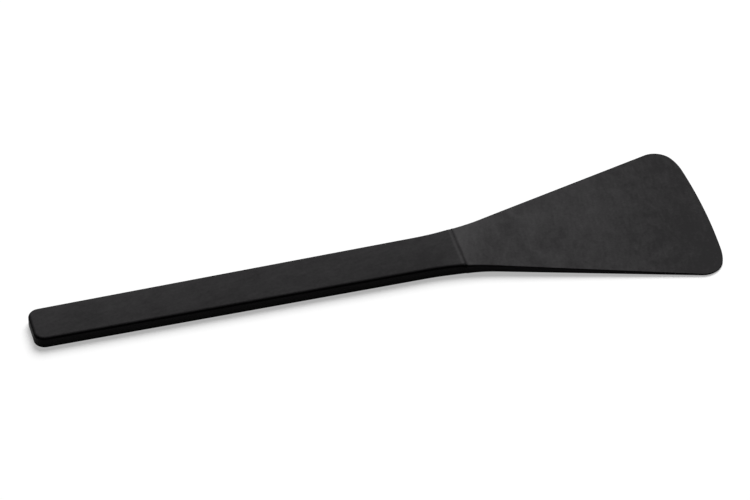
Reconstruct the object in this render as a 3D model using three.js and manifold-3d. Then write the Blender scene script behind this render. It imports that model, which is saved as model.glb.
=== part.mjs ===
// A flat kitchen spatula in black paper laminate, in millimetres, +Z up.
// X runs from the butt of the handle to the front edge of the blade, and Y across the width.
// The blade and its full-length tang are one piece. A scale is bonded to each face of the tang
// to make the handle, and blind pins through the tang keep the two scales in line.

import * as THREE from "three";
import { mergeVertices } from "three/addons/utils/BufferGeometryUtils.js";
import Module from "manifold-3d";

const wasm = await Module();
wasm.setup();

// Plan sizes
const overallLength = 340; // butt to the middle of the front edge
const handleLength = 213.5; // butt to the joint line across the neck
const buttWidth = 22.3; // handle at the butt
const neckWidth = 25.5; // handle's straight sides at the joint line
const bladeWidth = 99.4; // between the points where the blade's sides would meet the front edge
const flareSetback = 1.1; // the sides start to flare this far behind the joint line
const frontBow = 3.7; // rise of the front edge's arc across the blade width
const buttCornerRadius = 5.5;
const neckRadius = 130; // blend from the handle's sides to the blade's sides
const frontCornerRadius = 10.5;
const frontCornerTurn = 84; // degrees of the front corner's arc
const frontEaseRadius = 32; // arc that eases the front corner into the front edge

// Thickness sizes
const tangThickness = 2.1;
const bondThickness = 0.15; // cured glue on each face of the tang
const scaleThickness = 1.85;
const tipThickness = 0.4; // blade at the middle of its front edge
const tipLift = 0.3; // underside of the front edge above the surface that the spatula lies on
const reliefDepth = 0.9; // deepest point of the hollow under the neck
const reliefRunIn = 10; // hollow's length under the lower scale
const reliefRunOut = 12; // hollow's length under the blade, up to its deepest point

// The top across the joint line: an eased step, then a shallow sweep into the plane of the blade
const stepRun = 2; // length of the step's curve on the scale, and again on the blade
const stepSlope = 0.25; // fall at the joint line, where the step is steepest
const rootSlope = 0.06; // fall at the foot of the step
const sweepRun = 20;

// Edges and fits
const upperEdgeRadius = 1.6; // round the top of the upper scale
const lowerEdgeRadius = 0.5; // round the underside of the lower scale
const jointGap = 0.1; // open line between the ends of the scales and the blade's shoulder

// Locating pins
const pinCount = 3;
const pinDiameter = 4;
const pinEndMargin = 25; // outer pins' axes from the butt and from the joint line
const pinBite = 1; // length of each pin's end inside its scale
const pinChamfer = 0.3;
const pinClearance = 0.1; // round each pin and past its ends

// Facets
const arcSteps = 6; // pairs of steps along each arc of the plan outline
const edgeSteps = 4; // steps round a scale's edge
const reliefSteps = 10;
const pinSides = 24;
const cutMargin = 5; // how far a cutting prism reaches past what it cuts

// Levels and places that follow from the sizes
const tangBottom = scaleThickness + bondThickness;
const tangTop = tangBottom + tangThickness;
const upperScaleBottom = tangTop + bondThickness;
const handleThickness = upperScaleBottom + scaleThickness;
const scaleEndTop = handleThickness - (stepRun * stepSlope) / 2;
const shoulderTop = scaleEndTop - jointGap * stepSlope;
const stepFoot = shoulderTop - (stepRun * (stepSlope + rootSlope)) / 2;
const tipTop = tipLift + tipThickness;
const scaleEnd = handleLength - jointGap;
const buttEnd = -cutMargin;
const pastTip = overallLength + cutMargin;

// Corners of the half outline, before they are rounded
const flareX = handleLength - flareSetback;
const sideSlope = (neckWidth - buttWidth) / 2 / handleLength;
const buttMiddle = new THREE.Vector2(0, 0);
const buttCorner = new THREE.Vector2(0, buttWidth / 2);
const flareCorner = new THREE.Vector2(flareX, buttWidth / 2 + sideSlope * flareX);
const frontCorner = new THREE.Vector2(overallLength - frontBow, bladeWidth / 2);

// Adds the arc that rounds the corner between two straight runs, and the run that leads to it.
function addRoundedCorner(path, before, corner, after, radius) {
  const toBefore = before.clone().sub(corner).normalize();
  const toAfter = after.clone().sub(corner).normalize();
  const halfAngle = toBefore.angleTo(toAfter) / 2;
  const bisector = toBefore.clone().add(toAfter).normalize();
  const centre = corner.clone().addScaledVector(bisector, radius / Math.sin(halfAngle));
  const setback = radius / Math.tan(halfAngle);
  const start = corner.clone().addScaledVector(toBefore, setback).sub(centre);
  const end = corner.clone().addScaledVector(toAfter, setback).sub(centre);
  const clockwise = toBefore.cross(toAfter) > 0;
  path.absarc(centre.x, centre.y, radius, start.angle(), end.angle(), clockwise);
}

// Adds the front corner's arc, which is tangent to the blade's side, the arc that eases it into the
// bowed front edge, and then the front edge as far as the middle.
function addFrontEdge(path) {
  const frontRadius = ((bladeWidth / 2) ** 2 + frontBow ** 2) / (2 * frontBow);
  const frontCentre = new THREE.Vector2(overallLength - frontRadius, 0);
  const along = frontCorner.clone().sub(flareCorner).normalize();
  const outward = new THREE.Vector2(-along.y, along.x);
  const handOver = outward.clone().rotateAround(new THREE.Vector2(), -THREE.MathUtils.degToRad(frontCornerTurn));
  const radiusChange = frontEaseRadius - frontCornerRadius;
  const arm = frontCorner.clone().addScaledVector(outward, -frontCornerRadius).sub(frontCentre);
  arm.addScaledVector(handOver, -radiusChange);
  const lead = arm.dot(along);
  const reach = frontRadius - frontEaseRadius;
  arm.addScaledVector(along, Math.sqrt(lead ** 2 - arm.lengthSq() + reach ** 2) - lead);
  const easeCentre = frontCentre.clone().add(arm);
  const cornerCentre = easeCentre.clone().addScaledVector(handOver, radiusChange);
  path.absarc(cornerCentre.x, cornerCentre.y, frontCornerRadius, outward.angle(), handOver.angle(), true);
  path.absarc(easeCentre.x, easeCentre.y, frontEaseRadius, handOver.angle(), arm.angle(), true);
  path.absarc(frontCentre.x, 0, frontRadius, arm.angle(), 0, true);
}

// The whole spatula seen from above: one half from the butt to the front, and its mirror image.
function planOutline() {
  const half = new THREE.Path();
  addRoundedCorner(half, buttMiddle, buttCorner, flareCorner, buttCornerRadius);
  addRoundedCorner(half, buttCorner, flareCorner, frontCorner, neckRadius);
  addFrontEdge(half);
  const points = half.getPoints(arcSteps);
  const mirrored = points.slice(0, -1).reverse().map((point) => new THREE.Vector2(point.x, -point.y));
  return new THREE.Shape([...points, ...mirrored]);
}

function solidFrom(geometry) {
  geometry.deleteAttribute("normal");
  geometry.deleteAttribute("uv");
  const merged = mergeVertices(geometry);
  const vertProperties = new Float32Array(merged.attributes.position.array);
  const triVerts = new Uint32Array(merged.index.array);
  return new wasm.Manifold(new wasm.Mesh({ numProp: 3, vertProperties, triVerts }));
}

function meshFrom(solid, name, material) {
  const { vertProperties, triVerts } = solid.getMesh();
  const geometry = new THREE.BufferGeometry();
  geometry.setAttribute("position", new THREE.BufferAttribute(vertProperties, 3));
  geometry.setIndex(new THREE.BufferAttribute(triVerts, 1));
  geometry.computeVertexNormals();
  return namedMesh(geometry, name, material);
}

function namedMesh(geometry, name, material) {
  const mesh = new THREE.Mesh(geometry, material);
  mesh.name = name;
  return mesh;
}

// The plan outline at the handle's full thickness, with square edges or with rounded ones.
function squareSlab() {
  const slab = new THREE.ExtrudeGeometry(planOutline(), { depth: handleThickness, bevelEnabled: false });
  return solidFrom(slab);
}

function roundedSlab(radius) {
  const slab = new THREE.ExtrudeGeometry(planOutline(), {
    depth: handleThickness - 2 * radius,
    bevelThickness: radius,
    bevelSize: radius,
    bevelOffset: -radius,
    bevelSegments: edgeSteps,
  });
  return solidFrom(slab.translate(0, 0, radius));
}

// A prism across the whole width, from a profile drawn in side view with X along and Z up.
function sidePrism(profile) {
  const width = bladeWidth + 2 * cutMargin;
  const prism = new THREE.ExtrudeGeometry(profile, {
    depth: width,
    bevelEnabled: false,
    curveSegments: reliefSteps,
  });
  return solidFrom(prism.rotateX(Math.PI / 2).translate(0, width / 2, 0));
}

// A profile with straight sides through the given corners.
function polygon(...corners) {
  return new THREE.Shape(corners.map(([x, z]) => new THREE.Vector2(x, z)));
}

// A flat layer of the handle, from the butt to the end of the scales.
function handleLayer(bottom, top) {
  return sidePrism(polygon([buttEnd, bottom], [scaleEnd, bottom], [scaleEnd, top], [buttEnd, top]));
}

// The hollow under the neck: it eases in below the lower scale, is deepest below the root of the
// blade, and falls a little from there to the front edge.
function reliefPrism() {
  const start = handleLength - reliefRunIn;
  const deepest = handleLength + reliefRunOut;
  const third = (deepest - start) / 3;
  const slope = (reliefDepth - tipLift) / (overallLength - deepest);
  const profile = new THREE.Shape();
  profile.moveTo(start, -cutMargin);
  profile.lineTo(start, 0);
  profile.bezierCurveTo(start + third, 0, deepest - third, reliefDepth, deepest, reliefDepth);
  profile.lineTo(pastTip, tipLift - slope * cutMargin);
  profile.lineTo(pastTip, -cutMargin);
  return sidePrism(profile);
}

// Places of the pins along the handle.
const pinPitch = (handleLength - 2 * pinEndMargin) / (pinCount - 1);
const pinPlaces = Array.from({ length: pinCount }, (_, index) => pinEndMargin + index * pinPitch);
const pinLength = upperScaleBottom - scaleThickness + 2 * pinBite;

// All the bores as one cutter. Each goes through the tang and ends blind in both scales.
function pinBores() {
  const radius = pinDiameter / 2 + pinClearance;
  const length = pinLength + 2 * pinClearance;
  const bores = pinPlaces.map((x) => {
    const bore = new THREE.CylinderGeometry(radius, radius, length, pinSides);
    return solidFrom(bore.rotateX(Math.PI / 2).translate(x, 0, handleThickness / 2));
  });
  return bores.reduce((all, bore) => all.add(bore));
}

const square = squareSlab();
const relief = reliefPrism();
const bores = pinBores();

function laminate() {
  return new THREE.MeshStandardMaterial({ color: 0x302f30, roughness: 0.6, metalness: 0 });
}

function curedGlue() {
  return new THREE.MeshStandardMaterial({ color: 0x1c1b1a, roughness: 0.4, metalness: 0 });
}

function steel() {
  return new THREE.MeshStandardMaterial({ color: 0xa9a9a6, roughness: 0.35, metalness: 1 });
}

// Behind its shoulder the blade is cut down to the flat tang. In front of it the top eases down the
// step, sweeps into a plane and falls along that to the tip.
function makeBladeAndTang() {
  const foot = handleLength + stepRun;
  const sweepEnd = foot + sweepRun;
  const sweepDrop = (sweepRun * rootSlope) / 2;
  const fall = (stepFoot - sweepDrop - tipTop) / (overallLength - foot - sweepRun / 2);
  const profile = polygon(
    [buttEnd, tangBottom],
    [handleLength, tangBottom],
    [handleLength, -cutMargin],
    [pastTip, -cutMargin],
    [pastTip, tipTop - fall * cutMargin],
    [sweepEnd, tipTop + fall * (overallLength - sweepEnd)],
  );
  profile.quadraticCurveTo(foot + sweepRun / 2, stepFoot - sweepDrop, foot, stepFoot);
  profile.quadraticCurveTo(
    handleLength + stepRun / 2,
    shoulderTop - (stepRun * stepSlope) / 2,
    handleLength,
    shoulderTop,
  );
  profile.lineTo(handleLength, tangTop);
  profile.lineTo(buttEnd, tangTop);
  const solid = square.intersect(sidePrism(profile)).subtract(relief).subtract(bores);
  return meshFrom(solid, "blade_and_tang", laminate());
}

// The upper scale ends square at the joint line, with its top eased down to meet the blade's shoulder.
function makeUpperScale() {
  const profile = polygon([buttEnd, upperScaleBottom], [scaleEnd, upperScaleBottom], [scaleEnd, scaleEndTop]);
  profile.quadraticCurveTo(scaleEnd - stepRun / 2, handleThickness, scaleEnd - stepRun, handleThickness);
  profile.lineTo(scaleEnd - stepRun, handleThickness + cutMargin);
  profile.lineTo(buttEnd, handleThickness + cutMargin);
  const solid = roundedSlab(upperEdgeRadius).intersect(sidePrism(profile)).subtract(bores);
  return meshFrom(solid, "upper_scale", laminate());
}

function makeLowerScale() {
  const layer = handleLayer(-cutMargin, scaleThickness);
  const solid = roundedSlab(lowerEdgeRadius).intersect(layer).subtract(relief).subtract(bores);
  return meshFrom(solid, "lower_scale", laminate());
}

function makeBondFilm(name, bottom) {
  const layer = handleLayer(bottom, bottom + bondThickness);
  return meshFrom(square.intersect(layer).subtract(bores), name, curedGlue());
}

function makePin(x, index) {
  const radius = pinDiameter / 2;
  const profile = [
    new THREE.Vector2(0, 0),
    new THREE.Vector2(radius - pinChamfer, 0),
    new THREE.Vector2(radius, pinChamfer),
    new THREE.Vector2(radius, pinLength - pinChamfer),
    new THREE.Vector2(radius - pinChamfer, pinLength),
    new THREE.Vector2(0, pinLength),
  ];
  const pin = namedMesh(new THREE.LatheGeometry(profile, pinSides), `locating_pin_${index + 1}`, steel());
  pin.rotation.x = Math.PI / 2;
  pin.position.set(x, 0, (handleThickness - pinLength) / 2);
  return pin;
}

// The origin is under the middle of the spatula's length, on the surface that it lies on.
const spatula = new THREE.Group();
spatula.position.x = -overallLength / 2;
spatula.add(
  makeBladeAndTang(),
  makeUpperScale(),
  makeLowerScale(),
  makeBondFilm("upper_bond_film", tangTop),
  makeBondFilm("lower_bond_film", scaleThickness),
  ...pinPlaces.map(makePin),
);

export default spatula;
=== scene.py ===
import math

import bmesh
import bpy
from mathutils import Matrix, Vector


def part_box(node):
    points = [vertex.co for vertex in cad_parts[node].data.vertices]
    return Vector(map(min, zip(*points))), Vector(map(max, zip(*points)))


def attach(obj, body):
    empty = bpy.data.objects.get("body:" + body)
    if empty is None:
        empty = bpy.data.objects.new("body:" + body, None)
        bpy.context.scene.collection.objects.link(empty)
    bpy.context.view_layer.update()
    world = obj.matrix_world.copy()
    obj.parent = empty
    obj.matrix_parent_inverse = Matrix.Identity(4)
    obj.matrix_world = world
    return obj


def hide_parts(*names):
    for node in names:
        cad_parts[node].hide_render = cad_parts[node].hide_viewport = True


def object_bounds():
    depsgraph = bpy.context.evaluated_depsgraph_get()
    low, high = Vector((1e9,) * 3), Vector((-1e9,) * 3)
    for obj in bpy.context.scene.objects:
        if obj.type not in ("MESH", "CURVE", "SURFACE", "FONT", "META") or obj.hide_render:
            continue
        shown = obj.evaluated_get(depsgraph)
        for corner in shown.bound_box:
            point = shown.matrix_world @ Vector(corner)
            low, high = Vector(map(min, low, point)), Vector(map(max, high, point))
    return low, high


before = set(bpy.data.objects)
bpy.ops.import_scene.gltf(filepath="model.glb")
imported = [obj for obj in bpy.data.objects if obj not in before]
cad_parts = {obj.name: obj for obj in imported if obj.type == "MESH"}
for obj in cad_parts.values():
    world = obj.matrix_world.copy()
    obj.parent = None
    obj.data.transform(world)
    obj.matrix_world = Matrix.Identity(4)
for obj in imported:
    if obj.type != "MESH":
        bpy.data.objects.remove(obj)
cadLow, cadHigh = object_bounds()
mm = 0.001
up = Vector((0, 0, 1))
across = Vector((0, 1, 0))
print("frame loaded:", sorted(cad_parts))


def srgb(code):  # "#rrggbb" to the linear colour that a shader wants
    channels = [int(code[i:i + 2], 16) / 255 for i in (1, 3, 5)]
    linear = [c / 12.92 if c <= 0.04045 else ((c + 0.055) / 1.055) ** 2.4 for c in channels]
    return (*linear, 1.0)


def addNode(tree, kind, settings={}, links={}):
    node = tree.nodes.new(kind)
    for key, value in settings.items():
        if isinstance(key, str) and hasattr(node, key):
            setattr(node, key, value)
        else:
            node.inputs[key].default_value = value
    for socket, source in links.items():
        tree.links.new(source, node.inputs[socket])
    return node


def newMaterial(name):
    material = bpy.data.materials.new(name)
    material.use_nodes = True
    material.node_tree.nodes.clear()
    return material


def direction(azimuth, elevation):  # degrees; azimuth 0 is behind the spatula, and + is towards the blade
    turn, rise = math.radians(azimuth), math.radians(elevation)
    return Vector((math.sin(turn) * math.cos(rise), math.cos(turn) * math.cos(rise), math.sin(rise)))


# Camera: a long lens in front of the spatula and above it, a little towards the butt
view = {
    "target": (5.09, 14.53, 0.0),  # mm, what the middle of the picture looks at
    "azimuth": 195.363,
    "elevation": 42.022,
    "distance": 2.2,  # m
    "lens": 215.44,
    "sensor": 36.0,
    "clipEnd": 100.0,  # m
}


def makeCamera():
    toCamera = direction(view["azimuth"], view["elevation"])
    bpy.ops.object.camera_add(location=Vector(view["target"]) * mm + toCamera * view["distance"])
    camera = bpy.context.object
    camera.rotation_euler = (-toCamera).to_track_quat("-Z", "Y").to_euler()
    camera.data.lens = view["lens"]
    camera.data.sensor_width = view["sensor"]
    camera.data.clip_end = view["clipEnd"]
    bpy.context.scene.camera = camera


# Studio: one soft box behind the spatula, in a dim room with a paper floor
studio = {
    "azimuth": 28.0,
    "elevation": 46.0,
    "distance": 10.0,  # m
    "size": 8.0,  # m
    "power": 1620.0,
    "room": "#ffffff",
    "roomStrength": 0.008,
    "paper": "#cbcbcb",
    "paperGlow": 0.42,
    "floorSize": 40.0,  # m
}


def makeLight():
    toLight = direction(studio["azimuth"], studio["elevation"])
    bpy.ops.object.light_add(type="AREA", location=toLight * studio["distance"])
    softBox = bpy.context.object
    softBox.name = "softBox"
    softBox.rotation_euler = (-toLight).to_track_quat("-Z", "Y").to_euler()
    softBox.data.shape = "DISK"
    softBox.data.size = studio["size"]
    softBox.data.energy = studio["power"]
    softBox.visible_camera = False
    world = bpy.data.worlds.new("dimRoom")
    world.use_nodes = True
    background = world.node_tree.nodes["Background"]
    background.inputs["Color"].default_value = srgb(studio["room"])
    background.inputs["Strength"].default_value = studio["roomStrength"]
    bpy.context.scene.world = world


def seenRays(tree, amount):  # the amount where the eye, a reflection or glass looks, and 0 for other light
    path = addNode(tree, "ShaderNodeLightPath")
    seen = addNode(tree, "ShaderNodeMath", {"operation": "MAXIMUM"},
                   {0: path.outputs["Is Camera Ray"], 1: path.outputs["Is Glossy Ray"]})
    seen = addNode(tree, "ShaderNodeMath", {"operation": "MAXIMUM"},
                   {0: seen.outputs[0], 1: path.outputs["Is Transmission Ray"]})
    return addNode(tree, "ShaderNodeMath", {"operation": "MULTIPLY", 1: amount}, {0: seen.outputs[0]})


def makeFloor():
    bpy.ops.mesh.primitive_plane_add(size=studio["floorSize"])
    floor = bpy.context.object
    floor.name = "studioFloor"
    paper = newMaterial("white seamless paper")  # matt, and white to the eye where no shadow falls
    tree = paper.node_tree
    matt = addNode(tree, "ShaderNodeBsdfDiffuse", {"Color": srgb(studio["paper"])})
    seen = seenRays(tree, studio["paperGlow"])
    glow = addNode(tree, "ShaderNodeEmission", {}, {"Strength": seen.outputs[0]})
    both = addNode(tree, "ShaderNodeAddShader", {}, {0: matt.outputs[0], 1: glow.outputs[0]})
    addNode(tree, "ShaderNodeOutputMaterial", {}, {"Surface": both.outputs[0]})
    floor.data.materials.append(paper)


bpy.context.scene.view_settings.view_transform = "Standard"
makeCamera()
makeLight()
makeFloor()
print("camera, light and floor set")


# Plan outline, shared by the blade and both scales: mm
plan = {
    "buttWidth": 22.3,
    "neckWidth": 25.5,  # the handle's straight sides, carried on to the joint line
    "bladeWidth": 99.36,  # between the sharp front corners
    "flareSetback": 1.1,
    "frontBow": 3.7,
    "buttCorner": 5.5,
    "neckBlend": 130.0,
    "frontCorner": 10.5,
    "frontCornerTurn": 84.0,  # degrees
    "frontEase": 32.0,  # from the front corner into the bowed front edge
    "jointGap": 0.1,  # open line between the scales' ends and the blade's shoulder
    "cornerSteps": 16,
    "easeSteps": 6,
    "neckSteps": 24,
    "sideSteps": 8,  # along the blade's straight sides, where its rounding changes
    "bowSteps": 40,
}
buttX, tipX = cadLow.x, cadHigh.x
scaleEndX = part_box("upper_scale")[1].x
jointX = scaleEndX + plan["jointGap"] * mm
handleTop = cadHigh.z
upperGlue = [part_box("upper_bond_film")[i].z for i in (0, 1)]  # underside and top of each glue film
lowerGlue = [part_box("lower_bond_film")[i].z for i in (0, 1)]
weld = 0.002 * mm  # points closer than this become one
cutSnap = 0.0005 * mm  # points this close to a cut are on it
clear = 5 * mm  # how far a cutter stands out past what it cuts
overrun = 0.1  # how much of its own length a cutter's slope or arc goes on past the end
wallRise = 0.3  # a side wall's normal rises by less than this
faceRise = 0.9  # and that of the top or the underside by more than this


def startPen(name, point):  # a new piece that is a single vertex, ready to be drawn out
    bpy.ops.object.select_all(action="DESELECT")
    bpy.ops.mesh.primitive_plane_add(size=mm)
    piece = bpy.context.object
    piece.name = piece.data.name = name
    bpy.ops.object.mode_set(mode="EDIT")
    bpy.ops.mesh.select_mode(type="VERT")
    bpy.ops.mesh.merge(type="CENTER")
    bpy.ops.transform.translate(value=point)
    return piece


def lineTo(pen, point):
    bpy.ops.mesh.extrude_vertices_move(TRANSFORM_OT_translate={"value": point - pen})
    return point


def stepTo(pen, point, steps):  # a straight line in equal steps
    start = pen.copy()
    for i in range(steps):
        pen = lineTo(pen, start.lerp(point, (i + 1) / steps))
    return pen


def arcTo(pen, centre, turn, steps, axis=up):  # turn is anticlockwise; with no window, spin's is the reverse
    bpy.ops.mesh.spin(steps=steps, angle=-turn, center=centre, axis=axis)
    return centre + Matrix.Rotation(turn, 3, axis) @ (pen - centre)


def fillAndExtrude(offset):  # closes the drawn outline and pulls it out to a solid
    bpy.ops.mesh.select_all(action="SELECT")
    bpy.ops.mesh.remove_doubles(threshold=weld)
    bpy.ops.mesh.edge_face_add()
    bpy.ops.mesh.extrude_region_move(TRANSFORM_OT_translate={"value": offset})
    bpy.ops.mesh.select_all(action="SELECT")
    bpy.ops.mesh.normals_make_consistent(inside=False)


def roundCorner(before, corner, after, radius):  # where a corner's arc starts, its centre and its turn
    toBefore, toAfter = (before - corner).normalized(), (after - corner).normalized()
    half = toBefore.angle(toAfter) / 2
    centre = corner + (toBefore + toAfter).normalized() * (radius / math.sin(half))
    start = corner + toBefore * (radius / math.tan(half))
    side = -1 if toBefore.cross(toAfter).z > 0 else 1
    return start, centre, side * (math.pi - 2 * half)


def frontArcs(flare, front):  # the end of the blade's side, then centre and turn of corner, ease and bow
    bow, half = plan["frontBow"] * mm, plan["bladeWidth"] / 2 * mm
    radius, ease = plan["frontCorner"] * mm, plan["frontEase"] * mm
    cornerTurn = -math.radians(plan["frontCornerTurn"])
    bowRadius = (half ** 2 + bow ** 2) / (2 * bow)
    bowCentre = Vector((tipX - bowRadius, 0, 0))
    along = (front - flare).normalized()
    outward = Vector((-along.y, along.x, 0))
    handOver = Matrix.Rotation(cornerTurn, 3, up) @ outward
    reach = front - outward * radius - handOver * (ease - radius) - bowCentre
    lead = reach.dot(along)
    reach += along * (math.sqrt(lead ** 2 - reach.length_squared + (bowRadius - ease) ** 2) - lead)
    easeCentre = bowCentre + reach
    cornerCentre = easeCentre + handOver * (ease - radius)
    bowAngle = math.atan2(reach.y, reach.x)
    easeTurn = bowAngle - math.atan2(handOver.y, handOver.x)
    sideEnd = cornerCentre + outward * radius
    return sideEnd, (cornerCentre, cornerTurn), (easeCentre, easeTurn), (bowCentre, -2 * bowAngle)


def mirrored(point):
    return Vector((point.x, -point.y, point.z))


def drawSlab(name, bottom, top):  # the plan outline as a flat slab, drawn from the butt round the front
    buttMiddle = Vector((buttX, 0, 0))
    buttCorner = Vector((buttX, plan["buttWidth"] / 2 * mm, 0))
    sideSlope = (plan["neckWidth"] - plan["buttWidth"]) / 2 * mm / (jointX - buttX)
    flareX = jointX - plan["flareSetback"] * mm
    flare = Vector((flareX, buttCorner.y + sideSlope * (flareX - buttX), 0))
    front = Vector((tipX - plan["frontBow"] * mm, plan["bladeWidth"] / 2 * mm, 0))
    buttStart, buttCentre, buttTurn = roundCorner(buttMiddle, buttCorner, flare, plan["buttCorner"] * mm)
    neckStart, neckCentre, neckTurn = roundCorner(buttCorner, flare, front, plan["neckBlend"] * mm)
    sideEnd, corner, ease, bow = frontArcs(flare, front)
    piece = startPen(name, buttStart)
    buttEnd = arcTo(buttStart, buttCentre, buttTurn, plan["cornerSteps"])
    pen = lineTo(buttEnd, neckStart)
    neckEnd = arcTo(pen, neckCentre, neckTurn, plan["neckSteps"])
    pen = stepTo(neckEnd, sideEnd, plan["sideSteps"])
    pen = arcTo(pen, *corner, plan["cornerSteps"])
    pen = arcTo(pen, *ease, plan["easeSteps"])
    pen = arcTo(pen, *bow, plan["bowSteps"])
    pen = arcTo(pen, mirrored(ease[0]), ease[1], plan["easeSteps"])
    pen = arcTo(pen, mirrored(corner[0]), corner[1], plan["cornerSteps"])
    pen = stepTo(pen, mirrored(neckEnd), plan["sideSteps"])
    pen = arcTo(pen, mirrored(neckCentre), neckTurn, plan["neckSteps"])
    pen = lineTo(pen, mirrored(buttEnd))
    pen = arcTo(pen, mirrored(buttCentre), buttTurn, plan["cornerSteps"])
    lineTo(pen, buttStart)
    fillAndExtrude((0, 0, top - bottom))
    bpy.ops.transform.translate(value=(0, 0, bottom))
    return piece


def cutAway(point, normal):  # cuts along a plane, clears the side that the normal points to, caps the cut
    bpy.ops.mesh.select_all(action="SELECT")
    bpy.ops.mesh.bisect(plane_co=point, plane_no=normal, use_fill=True, clear_outer=True, threshold=cutSnap)


def selectEdges(piece, wanted):
    bpy.ops.mesh.select_mode(type="EDGE")
    bpy.ops.mesh.select_all(action="DESELECT")
    mesh = bmesh.from_edit_mesh(piece.data)
    for edge in mesh.edges:
        edge.select_set(wanted(edge))
    bmesh.update_edit_mesh(piece.data)


def isRim(edge, upper):  # between a side wall and the top, or a side wall and the underside
    rises = sorted(face.normal.z if upper else -face.normal.z for face in edge.link_faces)
    return len(rises) == 2 and abs(rises[0]) < wallRise and rises[1] > faceRise


def roundEdges(radius, segments):
    bpy.ops.mesh.bevel(offset=radius * mm, offset_type="OFFSET", segments=segments, affect="EDGES")


def roundTopRim(piece, radiusAt, segments):  # rounds the top edge with a radius that changes along it
    mesh = bmesh.from_edit_mesh(piece.data)
    weights = mesh.edges.layers.float.new("bevel_weight_edge")
    rim = [edge for edge in mesh.edges if isRim(edge, True)]
    radii = [radiusAt((edge.verts[0].co + edge.verts[1].co) / 2) for edge in rim]
    for edge, radius in zip(rim, radii):
        edge[weights] = radius / max(radii)
    bmesh.update_edit_mesh(piece.data)
    bpy.ops.object.mode_set(mode="OBJECT")
    rounding = piece.modifiers.new("rounding", "BEVEL")
    rounding.limit_method = "WEIGHT"
    rounding.width = max(radii) * mm
    rounding.segments = segments
    rounding.use_clamp_overlap = False  # the short faces of the step would hold it back
    bpy.ops.object.modifier_apply(modifier="rounding")
    bpy.ops.object.mode_set(mode="EDIT")


def carve(piece, cutter):
    bpy.ops.object.mode_set(mode="OBJECT")
    bpy.ops.object.select_all(action="DESELECT")
    bpy.context.view_layer.objects.active = piece
    piece.select_set(True)
    modifier = piece.modifiers.new("carve", "BOOLEAN")
    modifier.object = cutter
    modifier.operation = "DIFFERENCE"
    modifier.solver = "EXACT"
    bpy.ops.object.modifier_apply(modifier="carve")
    bpy.ops.object.mode_set(mode="EDIT")


def pullAcross(cutter):  # a side profile, filled and pulled right across the blade's width
    width = plan["bladeWidth"] * mm + 4 * clear
    fillAndExtrude((0, width, 0))
    bpy.ops.transform.translate(value=(0, -width / 2, 0))
    bpy.ops.object.mode_set(mode="OBJECT")
    return cutter


# The hollow under the neck: mm, with its two runs counted from the joint line
hollow = {
    "depth": 0.9,
    "frontLift": 0.3,  # left under the front edge
    "runIn": 10.0,  # under the lower scale
    "runOut": 12.0,  # under the blade, up to the deepest point
    "steps": 16,
}


def drawHollow():  # a cutter with the hollow's side profile, right across the width
    depth = hollow["depth"] * mm
    start = Vector((jointX - hollow["runIn"] * mm, 0, 0))
    deepest = Vector((jointX + hollow["runOut"] * mm, 0, depth))
    span = deepest.x - start.x
    radius = (span ** 2 + depth ** 2) / (4 * depth)  # two equal arcs make the S
    turn = math.asin(span / 2 / radius)
    front = Vector((tipX, 0, hollow["frontLift"] * mm))
    past = front + (front - deepest) * overrun
    below = up * clear
    cutter = startPen("hollowCutter", start - below)
    pen = lineTo(start - below, start)
    pen = arcTo(pen, start + up * radius, -turn, hollow["steps"], across)
    pen = arcTo(pen, deepest - up * radius, turn, hollow["steps"], across)
    pen = lineTo(pen, past)
    pen = lineTo(pen, past - below)
    lineTo(pen, start - below)
    return pullAcross(cutter)


# Bores for the locating pins
bore = {
    "clearance": 0.1,  # mm, round each pin and past its ends
    "sides": 32,
}


def drawBores():
    bores = []
    for name in sorted(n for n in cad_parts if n.startswith("locating_pin")):
        low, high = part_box(name)
        middle, gap = (low + high) / 2, bore["clearance"] * mm
        bpy.ops.object.select_all(action="DESELECT")
        bpy.ops.mesh.primitive_cylinder_add(vertices=bore["sides"], radius=(high.x - low.x) / 2 + gap,
                                            depth=high.z - low.z + 2 * gap, location=middle)
        bores.append(bpy.context.object)
    for each in bores:
        each.select_set(True)
    bpy.ops.object.join()
    bpy.ops.object.transform_apply(location=True, rotation=True, scale=True)
    return bpy.context.object


hollowCutter = drawHollow()
boreCutter = drawBores()
print("cutters for the hollow and the bores drawn")


# The eased step across the joint line: half its curve is on the scale's end and half on the blade
step = {
    "run": 2.0,  # mm, along each half
    "slope": 0.25,  # at the joint line, where the step is steepest
}
stepAngle = math.atan(step["slope"])
endRadius = step["run"] * mm / math.sin(stepAngle)
endDrop = endRadius * (1 - math.cos(stepAngle))


def uphill(angle):  # upward normal of a face that falls towards the tip at this angle
    return Vector((math.sin(angle), 0, math.cos(angle)))


# Blade with its tang: mm
blade = {
    "tip": 0.4,  # thickness at the middle of the front edge
    "rootSlope": 0.06,  # at the foot of the step, easing off along the sweep
    "sweep": 20.0,
    "stepSteps": 6,
    "sweepSteps": 12,
    "rootRadius": (1.0, 1.2),  # round the top at the joint line, on the -Y and +Y sides
    "rootEase": 20.0,  # length in which they ease to the next one
    "topRadius": 0.65,
    "tipRadius": 0.2,  # with the one below, less than the tip's thickness
    "underRadius": 0.12,
    "topSegments": 6,
    "underSegments": 3,
}


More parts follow.
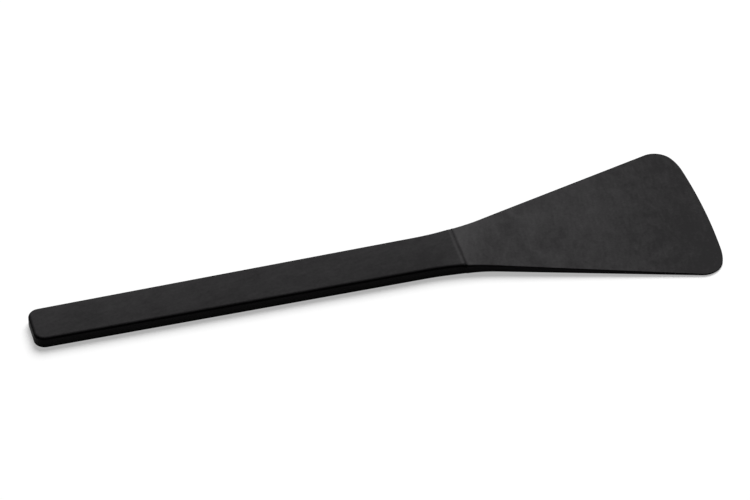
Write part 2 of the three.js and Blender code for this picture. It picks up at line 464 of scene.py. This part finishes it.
def drawTopCutter():  # takes off all above the blade's top: the step, the sweep, then a plane to the tip
    shoulder = Vector((jointX, 0, handleTop - endDrop - plan["jointGap"] * mm * step["slope"]))
    behind = shoulder + Vector((-1, 0, step["slope"])) * mm
    start = Vector((buttX - 2 * clear, 0, behind.z))
    tip = Vector((tipX, 0, (hollow["frontLift"] + blade["tip"]) * mm))
    rootAngle, sweep = math.atan(blade["rootSlope"]), blade["sweep"] * mm
    stepRadius = step["run"] * mm / (math.sin(stepAngle) - math.sin(rootAngle))
    stepCentre = shoulder + uphill(stepAngle) * stepRadius
    cutter = startPen("topCutter", start)
    pen = lineTo(start, behind)
    pen = lineTo(pen, shoulder)
    pen = arcTo(pen, stepCentre, rootAngle - stepAngle, blade["stepSteps"], across)
    mainAngle = math.atan((pen.z - tip.z - sweep * blade["rootSlope"] / 2) / (tip.x - pen.x - sweep / 2))
    sweepCentre = pen + uphill(rootAngle) * (sweep / (rootAngle - mainAngle))
    pen = arcTo(pen, sweepCentre, mainAngle - rootAngle, blade["sweepSteps"], across)
    pen = lineTo(pen, tip + (tip - pen) * overrun)
    pen = lineTo(pen, Vector((pen.x, 0, start.z + 2 * clear)))
    pen = lineTo(pen, start + up * 2 * clear)
    lineTo(pen, start)
    return pullAcross(cutter)


def bladeRim(place):  # radius of the blade's top edge at a place on it, in mm
    root, top, tip = blade["rootRadius"][place.y > 0], blade["topRadius"], blade["tipRadius"]
    easeEnd = jointX + blade["rootEase"] * mm
    if place.x < easeEnd:
        return top + (root - top) * min((easeEnd - place.x) / (easeEnd - jointX), 1)
    return top + (tip - top) * (place.x - easeEnd) / (tipX - easeEnd)


def millingBlock(low, high):
    bpy.ops.object.mode_set(mode="OBJECT")
    bpy.ops.object.select_all(action="DESELECT")
    bpy.ops.mesh.primitive_cube_add(size=1, location=(low + high) / 2, scale=high - low)
    return bpy.context.object


def makeBlade():
    topCutter = drawTopCutter()
    slab = drawSlab("bladeAndTang", 0, handleTop + mm)  # 1 mm to spare on top
    carve(slab, topCutter)
    carve(slab, hollowCutter)
    roundTopRim(slab, bladeRim, blade["topSegments"])
    selectEdges(slab, lambda edge: isRim(edge, False))
    roundEdges(blade["underRadius"], blade["underSegments"])
    wide = plan["buttWidth"] * mm
    above = millingBlock(Vector((buttX - wide, -wide, upperGlue[0])),
                         Vector((jointX, wide, 2 * handleTop)))
    below = millingBlock(Vector((buttX - wide, -wide, -handleTop)),
                         Vector((jointX, wide, lowerGlue[1])))
    for cutter in (above, below, boreCutter):
        carve(slab, cutter)
    bpy.ops.object.mode_set(mode="OBJECT")
    for cutter in (topCutter, above, below):
        bpy.data.objects.remove(cutter)
    return slab


# Handle scales: mm
scale = {
    "topRadius": 1.6,
    "endRadius": (2.1, 1.7),  # at the joint line, on the -Y and +Y sides
    "endEase": 2.5,  # length in which the first eases to these
    "underRadius": 0.5,
    "spareEnd": 4.0,  # left on for the rounding to run out, then cut off
    "topSegments": 10,
    "underSegments": 6,
    "endSteps": 8,
}


def drawEndCutter():  # eases the upper scale's top down to the blade's shoulder
    centre = Vector((scaleEndX - step["run"] * mm, 0, handleTop - endRadius))
    start = centre + up * (endRadius + clear)
    cutter = startPen("endCutter", start)
    pen = lineTo(start, centre + up * endRadius)
    pen = arcTo(pen, centre, stepAngle * (1 + overrun), scale["endSteps"], across)
    pen = lineTo(pen, pen + Vector((1, 0, -step["slope"])) * clear)
    pen = lineTo(pen, Vector((pen.x, 0, start.z)))
    lineTo(pen, start)
    return pullAcross(cutter)


def scaleRim(place):  # radius of the upper scale's top edge at a place on it, in mm
    top, end = scale["topRadius"], scale["endRadius"][place.y > 0]
    along = (place.x - scaleEndX) / (scale["endEase"] * mm) + 1
    return top + (end - top) * min(max(along, 0), 1)


def makeUpperScale():
    endCutter = drawEndCutter()
    slab = drawSlab("upperScale", lowerGlue[1], handleTop)
    cutAway((scaleEndX + scale["spareEnd"] * mm, 0, 0), (1, 0, 0))
    carve(slab, endCutter)
    roundTopRim(slab, scaleRim, scale["topSegments"])
    cutAway((0, 0, upperGlue[1]), -up)
    cutAway((scaleEndX, 0, 0), (1, 0, 0))
    carve(slab, boreCutter)
    bpy.ops.object.mode_set(mode="OBJECT")
    bpy.data.objects.remove(endCutter)
    return slab


def makeLowerScale():
    slab = drawSlab("lowerScale", 0, lowerGlue[0])
    carve(slab, hollowCutter)
    selectEdges(slab, lambda edge: isRim(edge, False))
    roundEdges(scale["underRadius"], scale["underSegments"])
    cutAway((scaleEndX, 0, 0), (1, 0, 0))
    carve(slab, boreCutter)
    bpy.ops.object.mode_set(mode="OBJECT")
    return slab


bladeAndTang = makeBlade()
print("blade and tang modelled")
upperScale = makeUpperScale()
lowerScale = makeLowerScale()
print("scales modelled")
for cutter in (hollowCutter, boreCutter):
    bpy.data.objects.remove(cutter)


# Paper laminate: black kraft paper pressed hard in resin, then sanded. The sanded faces are matt charcoal
# with a soft sheen towards the light, and a faint figure of rings and bands where the sanding cuts through
# wavy plies at a shallow angle; painted highlights and painted shade lighten and darken their ink along the
# handle and the blade. The cut walls are oiled and show the plies edge on. The walls and their rounded edges
# take darker inks, partly their own tone and partly painted shade, the edges near black.
handleFinish = {
    "name": "black paper laminate, sanded fine",
    "deepInk": "#201f20",
    "paleInk": "#353435",
    "sealedAndShadedInk": ("#040304", "#282728"),  # on the rounded edges and the walls, partly their own tone and partly painted shade
    "wallToEdge": (0.1, 0.45),  # how far up the normal points where a wall turns into an edge
    "edgeToFace": (0.6, 0.95),  # and where an edge turns into a sanded face
    "ply": 0.6,  # mm
    "plyWander": 1.2,  # mm, how far a ply strays from flat
    "wanderSize": 30.0,  # mm
    "tone": 0.05,  # between the two inks
    "figure": 0.33,  # how strongly the plies show
    "cloud": 0.26,  # and so for soft patches, fibres and strokes
    "cloudSize": 9.0,  # mm
    "fibre": 0.43,
    "fibreSize": 1.3,  # mm; real fibres are finer, and are drawn this coarse to show
    "stroke": 0.42,
    "strokeSize": (4.5, 1.8),  # mm, sanding strokes' length and width
    "strokeTurn": 15.0,  # degrees from the handle's length
    "relief": 0.004,  # mm, of the fibres and the strokes
    "roughness": (0.42, 0.54),
    "specular": 0.017,
    "lean": 0.5,  # the axis that leans this much from X towards -Y
    "pale": (  # axis, from and to in mm from the joint line, paler by how much at each end: painted light and shade
        ("X", -213, 0, 0.27, 0.09),  # painted light: paler towards the butt, evening out the sheen that grows towards the joint line
        # painted sheen: paler over the last stretch before the step
        ("X", -16, -4, 0.0, 0.2),
        ("X", -2.5, -1.6, 0.0, 0.35),  # painted highlight along the ridge of the step
        # painted shade on the step's slope, just past its ridge
        ("X", -1.3, -0.4, 0.0, -0.42),
        # painted light: paler on the +Y side and darker on the -Y side, as the light comes from behind
        ("Y", -14, 14, -0.09, 0.09),
    ),
}
bladeFinish = {
    **handleFinish,
    "name": "black paper laminate, sanded to a wedge",
    "paleInk": "#393839",
    "ply": 0.35,
    "plyWander": 0.9,
    "wanderSize": 17.0,
    "figure": 0.35,
    "cloud": 0.44,
    "strokeSize": (6.0, 1.8),
    "strokeTurn": 80.0,
    # painted light and shade, in the same columns as the handle's table
    "pale": (
        # painted highlight: paler just past the joint line, at the foot of the step
        ("X", 0.2, 1.4, 0.15, 0.8),
        ("lean", -5, 21, 0.0, -0.47),  # painted sheen: paler in the sweep next to the joint line, reaching further on its +Y side
        # painted shade: darker towards the tip
        ("X", 60, 118, 0.0, -0.33),
        # painted light: paler on the +Y side and darker on the -Y side
        ("Y", -15, 15, -0.05, 0.05),
    ),
}


def paperLaminate(finish):  # a Mix node's colours are its inputs 6 and 7 and its output 2
    material = newMaterial(finish["name"])
    tree = material.node_tree
    place = addNode(tree, "ShaderNodeTexCoord").outputs["Object"]
    axes = addNode(tree, "ShaderNodeSeparateXYZ", {}, {0: place})
    wander = addNode(tree, "ShaderNodeTexNoise", {"Scale": 1 / (finish["wanderSize"] * mm), "Detail": 2.0},
                     {"Vector": place})
    depth = addNode(tree, "ShaderNodeMath", {"operation": "MULTIPLY_ADD", 1: 2 * finish["plyWander"] * mm},
                    {0: wander.outputs[0], 2: axes.outputs["Z"]})
    plies = addNode(tree, "ShaderNodeTexNoise",
                    {"noise_dimensions": "1D", "Scale": 1 / (finish["ply"] * mm), "Detail": 1.0},
                    {"W": depth.outputs[0]})
    cloud = addNode(tree, "ShaderNodeTexNoise", {"Scale": 1 / (finish["cloudSize"] * mm), "Detail": 4.0},
                    {"Vector": place})
    fibre = addNode(tree, "ShaderNodeTexNoise", {"Scale": 1 / (finish["fibreSize"] * mm), "Detail": 2.0},
                    {"Vector": place})
    length, width = finish["strokeSize"]
    turned = addNode(tree, "ShaderNodeMapping",
                     {"vector_type": "TEXTURE", "Rotation": (0, 0, math.radians(finish["strokeTurn"])),
                      "Scale": (length * mm, width * mm, width * mm)}, {"Vector": place})
    strokes = addNode(tree, "ShaderNodeTexNoise", {"Scale": 1.0, "Detail": 2.0},
                      {"Vector": turned.outputs[0]})

    # Painted light and shade: the tone is raised for painted highlights and sheen, and lowered for painted
    # shade, along the axes in the table
    lean = addNode(tree, "ShaderNodeMath", {"operation": "MULTIPLY_ADD", 1: -finish["lean"]},
                   {0: axes.outputs["Y"], 2: axes.outputs["X"]})
    along = {"X": axes.outputs["X"], "Y": axes.outputs["Y"], "lean": lean.outputs[0]}
    paintedLightAndShade = None
    for axis, start, end, first, last in finish["pale"]:
        origin = 0 if axis == "Y" else jointX
        pale = addNode(tree, "ShaderNodeMapRange",
                       {"interpolation_type": "SMOOTHSTEP", "From Min": origin + start * mm,
                        "From Max": origin + end * mm, "To Min": first, "To Max": last},
                       {"Value": along[axis]})
        links = {0: pale.outputs[0], 1: paintedLightAndShade.outputs[0]} if paintedLightAndShade else {0: pale.outputs[0]}
        paintedLightAndShade = addNode(tree, "ShaderNodeMath", {"operation": "ADD", 1: 0.0}, links)

    # The sanded faces: each pattern has a share in the tone, on top of the painted light and shade, and the
    # level keeps its middle where it was
    shares = ((plies, finish["figure"]), (cloud, finish["cloud"]),
              (fibre, finish["fibre"]), (strokes, finish["stroke"]))
    level = finish["tone"] - sum(share for source, share in shares) / 2
    tone = addNode(tree, "ShaderNodeMath", {"operation": "ADD", 1: level}, {0: paintedLightAndShade.outputs[0]})
    for source, share in shares:
        tone = addNode(tree, "ShaderNodeMath", {"operation": "MULTIPLY_ADD", 1: share},
                       {0: source.outputs[0], 2: tone.outputs[0]})
    sanded = addNode(tree, "ShaderNodeMix",
                     {"data_type": "RGBA", 6: srgb(finish["deepInk"]), 7: srgb(finish["paleInk"])},
                     {0: tone.outputs[0]})

    # The walls and the rounded edges: darker inks where the normal turns from up, partly the walls' own tone
    # and partly painted shade
    normal = addNode(tree, "ShaderNodeNewGeometry").outputs["Normal"]
    facing = addNode(tree, "ShaderNodeSeparateXYZ", {}, {0: normal})
    rise = addNode(tree, "ShaderNodeMath", {"operation": "ABSOLUTE"}, {0: facing.outputs["Z"]})
    wallEnd, edgeStart = finish["wallToEdge"]
    wall = addNode(tree, "ShaderNodeMapRange",
                   {"From Min": wallEnd, "From Max": edgeStart, "To Min": 1.0, "To Max": 0.0},
                   {"Value": rise.outputs[0]})
    shown = addNode(tree, "ShaderNodeMath", {"operation": "MULTIPLY"},
                    {0: wall.outputs[0], 1: plies.outputs[0]})
    edgeShadeInk, wallInk = finish["sealedAndShadedInk"]
    wallsAndEdgeShade = addNode(tree, "ShaderNodeMix", {"data_type": "RGBA", 6: srgb(edgeShadeInk), 7: srgb(wallInk)},
                     {0: shown.outputs[0]})
    edgeEnd, faceStart = finish["edgeToFace"]
    flat = addNode(tree, "ShaderNodeMapRange", {"From Min": edgeEnd, "From Max": faceStart},
                   {"Value": rise.outputs[0]})
    ink = addNode(tree, "ShaderNodeMix", {"data_type": "RGBA"},
                  {0: flat.outputs[0], 6: wallsAndEdgeShade.outputs[2], 7: sanded.outputs[2]})

    smooth, dull = finish["roughness"]
    rough = addNode(tree, "ShaderNodeMapRange", {"To Min": dull, "To Max": smooth},
                    {"Value": tone.outputs[0]})
    relief = finish["relief"] * mm
    height = addNode(tree, "ShaderNodeMath", {"operation": "MULTIPLY", 1: relief}, {0: fibre.outputs[0]})
    height = addNode(tree, "ShaderNodeMath", {"operation": "MULTIPLY_ADD", 1: relief},
                     {0: strokes.outputs[0], 2: height.outputs[0]})
    bump = addNode(tree, "ShaderNodeBump", {"Strength": 1.0, "Distance": 1.0},
                   {"Height": height.outputs[0]})
    shader = addNode(tree, "ShaderNodeBsdfPrincipled", {"Specular IOR Level": finish["specular"]},
                     {"Base Color": ink.outputs[2], "Roughness": rough.outputs[0],
                      "Normal": bump.outputs[0]})
    addNode(tree, "ShaderNodeOutputMaterial", {}, {"Surface": shader.outputs[0]})
    return material


# Cured glue: black epoxy squeezed to a film and sanded flush. Smoother than the paper, so its line is a
# little glossier
glue = {
    "deep": "#0a0a0a",
    "pale": "#131212",
    "patch": 3.0,  # mm
    "roughness": (0.3, 0.42),
    "specular": 0.02,
}


def curedGlue():
    material = newMaterial("black epoxy, cured and sanded flush")
    tree = material.node_tree
    place = addNode(tree, "ShaderNodeTexCoord").outputs["Object"]
    patch = addNode(tree, "ShaderNodeTexNoise", {"Scale": 1 / (glue["patch"] * mm), "Detail": 3.0},
                    {"Vector": place})
    tint = addNode(tree, "ShaderNodeMix",
                   {"data_type": "RGBA", 6: srgb(glue["deep"]), 7: srgb(glue["pale"])},
                   {0: patch.outputs[0]})
    smooth, dull = glue["roughness"]
    rough = addNode(tree, "ShaderNodeMapRange", {"To Min": smooth, "To Max": dull},
                    {"Value": patch.outputs[0]})
    shader = addNode(tree, "ShaderNodeBsdfPrincipled", {"Specular IOR Level": glue["specular"]},
                     {"Base Color": tint.outputs[2], "Roughness": rough.outputs[0]})
    addNode(tree, "ShaderNodeOutputMaterial", {}, {"Surface": shader.outputs[0]})
    return material


# Pin steel: drawn rod, centreless ground. Fine rings round the pin and a dull silver shine
pinSteel = {
    "dark": "#9d9d99",
    "bright": "#c0c0bc",
    "ring": 0.3,  # mm, coarser than real grinding marks so that they show
    "roughness": (0.28, 0.4),
}


def groundSteel():
    material = newMaterial("ground steel rod")
    tree = material.node_tree
    place = addNode(tree, "ShaderNodeTexCoord").outputs["Object"]
    axes = addNode(tree, "ShaderNodeSeparateXYZ", {}, {0: place})
    rings = addNode(tree, "ShaderNodeTexNoise",
                    {"noise_dimensions": "1D", "Scale": 1 / (pinSteel["ring"] * mm), "Detail": 3.0},
                    {"W": axes.outputs["Z"]})
    tint = addNode(tree, "ShaderNodeMix",
                   {"data_type": "RGBA", 6: srgb(pinSteel["dark"]), 7: srgb(pinSteel["bright"])},
                   {0: rings.outputs[0]})
    smooth, dull = pinSteel["roughness"]
    rough = addNode(tree, "ShaderNodeMapRange", {"To Min": smooth, "To Max": dull},
                    {"Value": rings.outputs[0]})
    shader = addNode(tree, "ShaderNodeBsdfPrincipled", {"Metallic": 1.0},
                     {"Base Color": tint.outputs[2], "Roughness": rough.outputs[0]})
    addNode(tree, "ShaderNodeOutputMaterial", {}, {"Surface": shader.outputs[0]})
    return material


crispAngle = math.radians(35)  # edges sharper than this aren't smoothed over


def finishPiece(piece, node, material):
    bpy.ops.object.select_all(action="DESELECT")
    bpy.context.view_layer.objects.active = piece
    piece.select_set(True)
    bpy.ops.object.mode_set(mode="EDIT")
    bpy.ops.mesh.select_all(action="SELECT")
    bpy.ops.mesh.remove_doubles(threshold=weld)
    bpy.ops.mesh.normals_make_consistent(inside=False)
    bpy.ops.object.mode_set(mode="OBJECT")
    bpy.ops.object.shade_smooth_by_angle(angle=crispAngle)
    modifier = piece.modifiers.new("evenShading", "WEIGHTED_NORMAL")
    modifier.keep_sharp = True
    bpy.ops.object.modifier_apply(modifier="evenShading")
    piece.data.materials.clear()
    piece.data.materials.append(material)
    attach(piece, "root")
    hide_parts(node)
    mesh = bmesh.new()
    mesh.from_mesh(piece.data)
    openEdges = sum(1 for edge in mesh.edges if len(edge.link_faces) != 2)
    volume = round(mesh.calc_volume() / (10 * mm) ** 3, 2)
    print(piece.name, len(mesh.faces), "faces,", openEdges, "open edges,", volume, "cm3")
    mesh.free()


handleLaminate = paperLaminate(handleFinish)
bladeLaminate = paperLaminate(bladeFinish)
finishPiece(bladeAndTang, "blade_and_tang", bladeLaminate)
finishPiece(upperScale, "upper_scale", handleLaminate)
finishPiece(lowerScale, "lower_scale", handleLaminate)
glueFilm, steel = curedGlue(), groundSteel()
for name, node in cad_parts.items():
    if "bond_film" in name:
        node.material_slots[0].material = glueFilm
    elif "locating_pin" in name:
        node.material_slots[0].material = steel
print("materials set")
